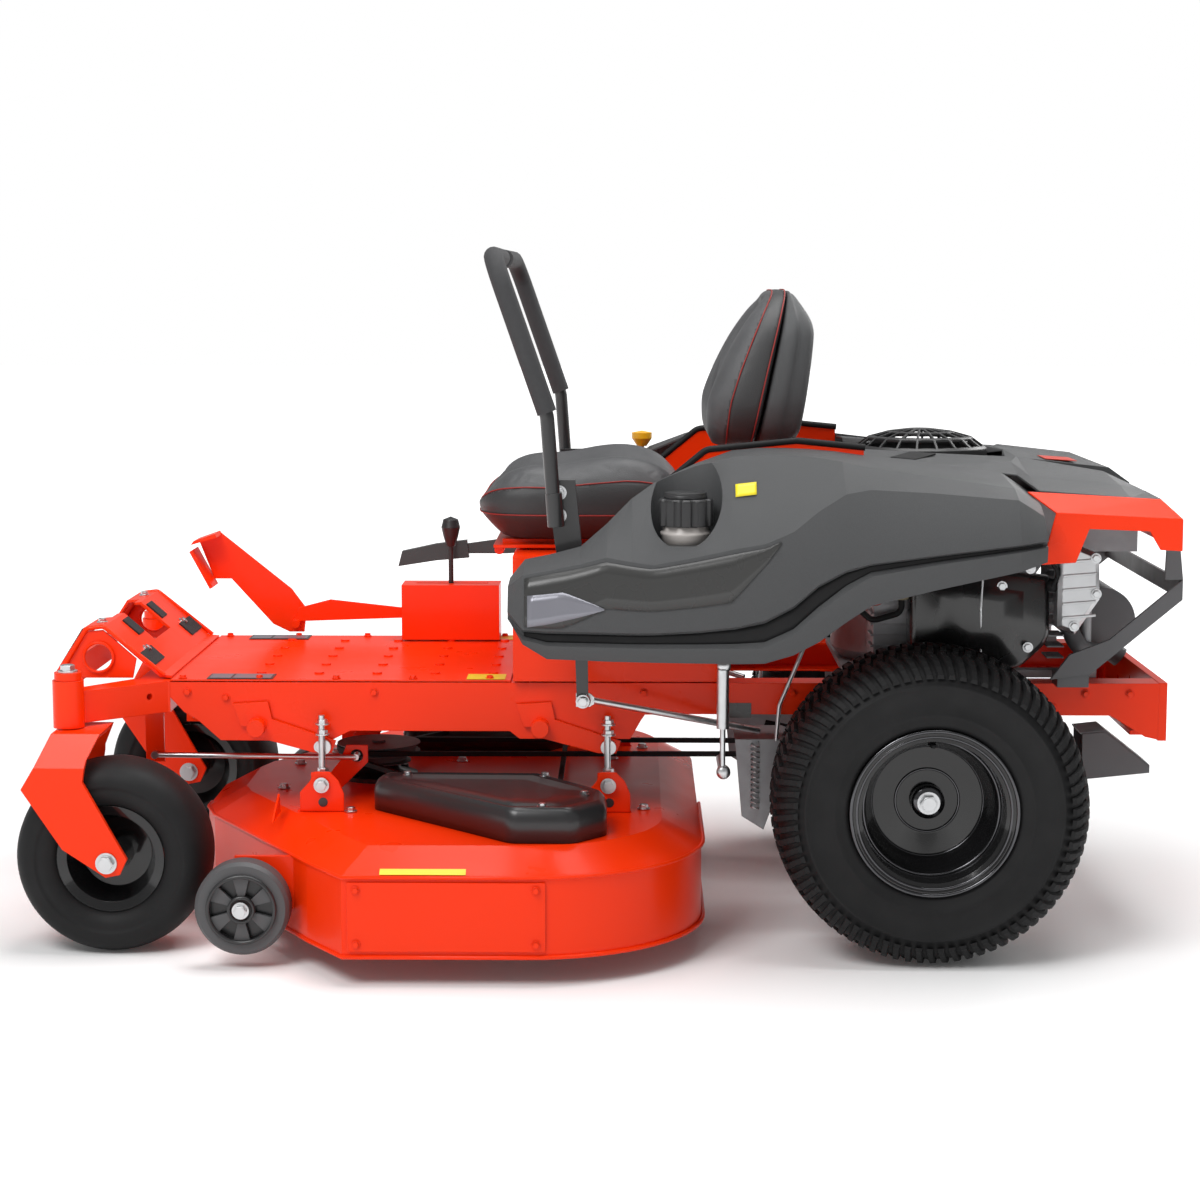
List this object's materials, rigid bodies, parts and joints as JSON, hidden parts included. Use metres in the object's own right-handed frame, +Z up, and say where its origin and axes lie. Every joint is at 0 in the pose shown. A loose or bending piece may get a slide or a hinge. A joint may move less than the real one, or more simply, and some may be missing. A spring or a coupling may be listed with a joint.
{
  "type": "zero turn mower",
  "caption": "Ride-on zero turn mower: steel frame, padded seat, twin lap bars, mid-mounted deck with side chute, swivel casters and drive wheels.",
  "frame": {"origin": "centre of the footprint's bounding box, on the ground that the tyres stand on", "axes": "+X to the rear of the machine, +Y to its right, where the discharge chute is, +Z up"},
  "size_m": [2.0669, 1.568, 1.2365],
  "materials": {
    "orange_frame": "gloss",
    "grey_panel": "textured",
    "black_plastic": "satin",
    "grey_metal": "satin",
    "black_metal": "satin",
    "engine_metal": "cast",
    "transaxle_metal": "cast",
    "silver_cover": "satin",
    "zinc_steel": "zinc",
    "blade_steel": "satin",
    "tyre_rubber": "matte",
    "wheel_plastic": "satin",
    "belt_rubber": "matte",
    "seat_vinyl": "grained",
    "knob_yellow": "gloss"
  },
  "bodies": {
    "chassis": {"side_rails": "orange_frame", "front_beam": "orange_frame", "rear_bumper": "orange_frame", "floor_pan": "orange_frame", "foot_plate": "orange_frame", "seat_box": "orange_frame", "rear_brace": "orange_frame", "quadrant_box": "orange_frame", "left_fender": "grey_panel", "right_fender": "grey_panel", "air_filter_cover": "grey_panel", "cylinder_shrouds": "black_plastic", "screen_guard": "black_plastic", "guard_straps": "grey_metal", "muffler": "grey_metal", "engine_block": "engine_metal", "transaxles": "transaxle_metal", "rocker_covers": "silver_cover", "damper_struts": "zinc_steel"},
    "deck": {"deck_shell": "orange_frame", "hanger_rods": "zinc_steel", "spindle_housings": "black_metal", "spindle_covers": "black_plastic", "deck_belt": "belt_rubber"},
    "chute": {"discharge_chute": "orange_frame"},
    "front_rockshaft": {"front_rockshaft": "orange_frame"},
    "rear_rockshaft": {"rear_rockshaft": "orange_frame"},
    "lift_pedal": {"lift_pedal": "orange_frame"},
    "drag_links": {"drag_links": "zinc_steel"},
    "height_lever": {"height_lever": "black_plastic"},
    "brake_lever": {"brake_lever": "black_metal"},
    "seat_plate": {"seat_plate": "orange_frame"},
    "seat": {"seat_cushion": "seat_vinyl", "seat_back": "seat_vinyl", "seat_back_shell": "grey_panel"},
    "fuel_cap": {"fuel_cap": "black_plastic"},
    "pto_knob": {"pto_knob": "knob_yellow"},
    "crankshaft": {"engine_fan": "zinc_steel"},
    "blade_left": {"blade_left": "blade_steel"},
    "blade_centre": {"blade_centre": "blade_steel"},
    "blade_right": {"blade_right": "blade_steel"},
    "scalp_wheel_left": {"scalp_wheel_left": "wheel_plastic"},
    "caster_fork_left": {"caster_fork_left": "orange_frame"},
    "caster_wheel_left": {"caster_rim_left": "black_metal", "caster_tyre_left": "tyre_rubber"},
    "drive_wheel_left": {"drive_rim_left": "black_metal", "drive_tyre_left": "tyre_rubber"},
    "control_arm_left": {"control_arm_left": "black_metal"},
    "lap_bar_left": {"lap_bar_left": "black_metal"},
    "control_rod_left": {"control_rod_left": "zinc_steel"},
    "scalp_wheel_right": {"scalp_wheel_right": "wheel_plastic"},
    "caster_fork_right": {"caster_fork_right": "orange_frame"},
    "caster_wheel_right": {"caster_rim_right": "black_metal", "caster_tyre_right": "tyre_rubber"},
    "drive_wheel_right": {"drive_rim_right": "black_metal", "drive_tyre_right": "tyre_rubber"},
    "control_arm_right": {"control_arm_right": "black_metal"},
    "lap_bar_right": {"lap_bar_right": "black_metal"},
    "control_rod_right": {"control_rod_right": "zinc_steel"}
  },
  "joints": [
    {"name": "deck_lift", "type": "slide", "parent": "chassis", "child": "deck", "axis": [0, 0, 1], "range_m": [0, 0.06], "deforming": ["deck_belt"]},
    {"name": "front_rockshaft_turn", "type": "hinge", "parent": "chassis", "child": "front_rockshaft", "pos_m": [-0.623, -0.116, 0.378], "axis": [0, -1, 0], "range_deg": [0, 28.2]},
    {"name": "rear_rockshaft_turn", "type": "hinge", "parent": "chassis", "child": "rear_rockshaft", "pos_m": [-0.108, -0.116, 0.378], "axis": [0, -1, 0], "range_deg": [0, 28.2]},
    {"name": "lift_pedal_push", "type": "hinge", "parent": "chassis", "child": "lift_pedal", "pos_m": [-0.628, 0.174, 0.488], "axis": [0, -1, 0], "range_deg": [0, 20.2]},
    {"name": "drag_link_swing", "type": "hinge", "parent": "chassis", "child": "drag_links", "pos_m": [-0.824, -0.116, 0.312], "axis": [0, -1, 0], "range_deg": [0, 9.5]},
    {"name": "blade_left_spin", "type": "hinge", "parent": "deck", "child": "blade_left", "pos_m": [-0.132, -0.536, 0.08], "axis": [0, 0, 1], "continuous": true},
    {"name": "blade_centre_spin", "type": "hinge", "parent": "deck", "child": "blade_centre", "pos_m": [-0.432, -0.116, 0.08], "axis": [0, 0, 1], "continuous": true},
    {"name": "blade_right_spin", "type": "hinge", "parent": "deck", "child": "blade_right", "pos_m": [-0.132, 0.304, 0.08], "axis": [0, 0, 1], "continuous": true},
    {"name": "chute_lift", "type": "hinge", "parent": "deck", "child": "chute", "pos_m": [-0.279, 0.566, 0.19], "axis": [1, 0, 0], "range_deg": [0, 85]},
    {"name": "crankshaft_spin", "type": "hinge", "parent": "chassis", "child": "crankshaft", "pos_m": [0.605, -0.116, 0.6], "axis": [0, 0, 1], "continuous": true},
    {"name": "scalp_wheel_left_roll", "type": "hinge", "parent": "deck", "child": "scalp_wheel_left", "pos_m": [-0.614, -0.661, 0.108], "axis": [0, 1, 0], "continuous": true},
    {"name": "caster_left_swivel", "type": "hinge", "parent": "chassis", "child": "caster_fork_left", "pos_m": [-0.939, -0.526, 0.44], "axis": [0, 0, 1], "continuous": true},
    {"name": "caster_left_roll", "type": "hinge", "parent": "caster_fork_left", "child": "caster_wheel_left", "pos_m": [-0.86, -0.526, 0.172], "axis": [0, 1, 0], "continuous": true},
    {"name": "drive_wheel_left_roll", "type": "hinge", "parent": "chassis", "child": "drive_wheel_left", "pos_m": [0.577, -0.561, 0.276], "axis": [0, 1, 0], "continuous": true},
    {"name": "control_left_push", "type": "hinge", "parent": "chassis", "child": "control_arm_left", "pos_m": [-0.03, -0.526, 0.53], "axis": [0, 1, 0], "range_deg": [-8, 8]},
    {"name": "control_rod_left_swing", "type": "hinge", "parent": "control_arm_left", "child": "control_rod_left", "pos_m": [-0.028, -0.556, 0.453], "axis": [0, 1, 0], "range_deg": [-8.1, 8.1]},
    {"name": "lap_bar_left_swing", "type": "hinge", "parent": "control_arm_left", "child": "lap_bar_left", "pos_m": [-0.076, -0.533, 0.752], "axis": [1, 0, 0], "range_deg": [0, 40]},
    {"name": "scalp_wheel_right_roll", "type": "hinge", "parent": "deck", "child": "scalp_wheel_right", "pos_m": [-0.614, 0.429, 0.108], "axis": [0, 1, 0], "continuous": true},
    {"name": "caster_right_swivel", "type": "hinge", "parent": "chassis", "child": "caster_fork_right", "pos_m": [-0.939, 0.294, 0.44], "axis": [0, 0, 1], "continuous": true},
    {"name": "caster_right_roll", "type": "hinge", "parent": "caster_fork_right", "child": "caster_wheel_right", "pos_m": [-0.86, 0.294, 0.172], "axis": [0, 1, 0], "continuous": true},
    {"name": "drive_wheel_right_roll", "type": "hinge", "parent": "chassis", "child": "drive_wheel_right", "pos_m": [0.577, 0.329, 0.276], "axis": [0, 1, 0], "continuous": true},
    {"name": "control_right_push", "type": "hinge", "parent": "chassis", "child": "control_arm_right", "pos_m": [-0.03, 0.294, 0.53], "axis": [0, 1, 0], "range_deg": [-8, 8]},
    {"name": "control_rod_right_swing", "type": "hinge", "parent": "control_arm_right", "child": "control_rod_right", "pos_m": [-0.028, 0.324, 0.453], "axis": [0, 1, 0], "range_deg": [-8.1, 8.1]},
    {"name": "lap_bar_right_swing", "type": "hinge", "parent": "control_arm_right", "child": "lap_bar_right", "pos_m": [-0.076, 0.301, 0.752], "axis": [-1, 0, 0], "range_deg": [0, 40]},
    {"name": "height_lever_turn", "type": "hinge", "parent": "chassis", "child": "height_lever", "pos_m": [-0.307, 0.123, 0.52], "axis": [0, 1, 0], "range_deg": [-30, 30]},
    {"name": "brake_lever_pull", "type": "hinge", "parent": "chassis", "child": "brake_lever", "pos_m": [-0.102, 0.19, 0.65], "axis": [0, 1, 0], "range_deg": [0, 25]},
    {"name": "seat_tilt", "type": "hinge", "parent": "chassis", "child": "seat_plate", "pos_m": [-0.187, -0.116, 0.69], "axis": [0, -1, 0], "range_deg": [0, 38]},
    {"name": "seat_slide", "type": "slide", "parent": "seat_plate", "child": "seat", "axis": [1, 0, 0], "range_m": [-0.05, 0.05]},
    {"name": "fuel_cap_lift", "type": "slide", "parent": "chassis", "child": "fuel_cap", "axis": [0, 0, 1], "range_m": [0, 0.12]},
    {"name": "pto_knob_pull", "type": "slide", "parent": "chassis", "child": "pto_knob", "axis": [0, 0, 1], "range_m": [0, 0.012]}
  ],
  "couplings": [
    {"joint": "front_rockshaft_turn", "follows": "deck_lift", "rad_per_m": 8.12},
    {"joint": "rear_rockshaft_turn", "follows": "deck_lift", "rad_per_m": 8.12},
    {"joint": "lift_pedal_push", "follows": "deck_lift", "rad_per_m": 5.82},
    {"joint": "drag_link_swing", "follows": "deck_lift", "rad_per_m": 2.72},
    {"joint": "blade_left_spin", "follows": "blade_centre_spin", "ratio": 1},
    {"joint": "blade_right_spin", "follows": "blade_centre_spin", "ratio": 1},
    {"joint": "control_rod_left_swing", "follows": "control_left_push", "ratio": -1},
    {"joint": "control_rod_right_swing", "follows": "control_right_push", "ratio": -1}
  ]
}
